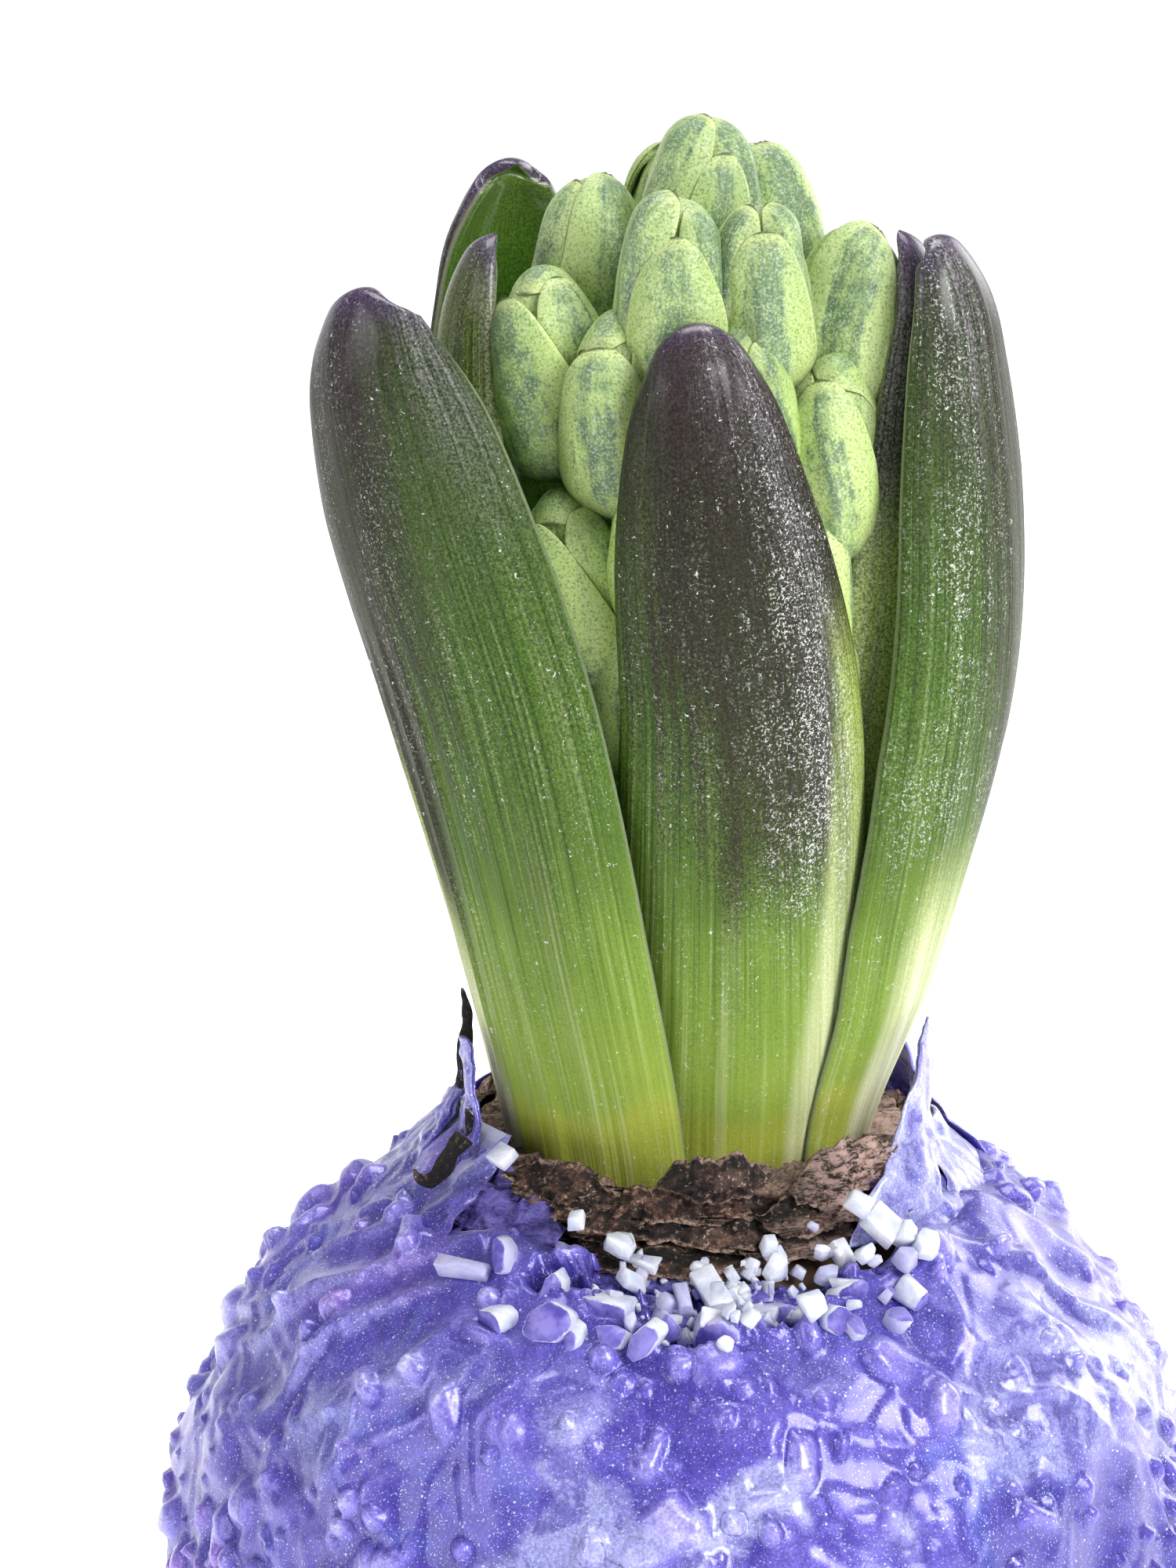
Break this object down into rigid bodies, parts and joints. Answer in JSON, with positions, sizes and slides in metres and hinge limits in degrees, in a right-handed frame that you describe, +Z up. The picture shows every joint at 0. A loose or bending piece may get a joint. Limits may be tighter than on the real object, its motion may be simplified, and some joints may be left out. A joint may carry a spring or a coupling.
{
  "type": "hyacinth flower with bulb",
  "caption": "Hyacinth in tight green bud with fleshy hooded leaves, growing from a bulb dipped in lumpy violet wax with a torn papery collar at its neck.",
  "frame": {"origin": "centre of the flat foot that the wax-dipped bulb stands on", "axes": "+Z up along the plant, -Y towards the side of the lowest front leaf, +X to the right seen from there"},
  "size_m": [0.0646, 0.0645, 0.1206],
  "materials": {
    "wax": "pearly wax",
    "bulb_flesh": "matte",
    "dry_tunic": "dry and papery",
    "white_wax": "waxy",
    "leaf": "fleshy, satin",
    "bud": "fine matte bloom"
  },
  "bodies": {
    "root": {"wax_coat": "wax", "bulb": "bulb_flesh", "tunic": "dry_tunic", "crumbs": "white_wax", "leaf_left": "leaf", "leaf_front": "leaf", "leaf_right": "leaf", "leaf_right_inner": "leaf", "leaf_left_inner": "leaf", "leaf_back_left": "leaf", "flower_head": "bud"}
  },
  "joints": []
}
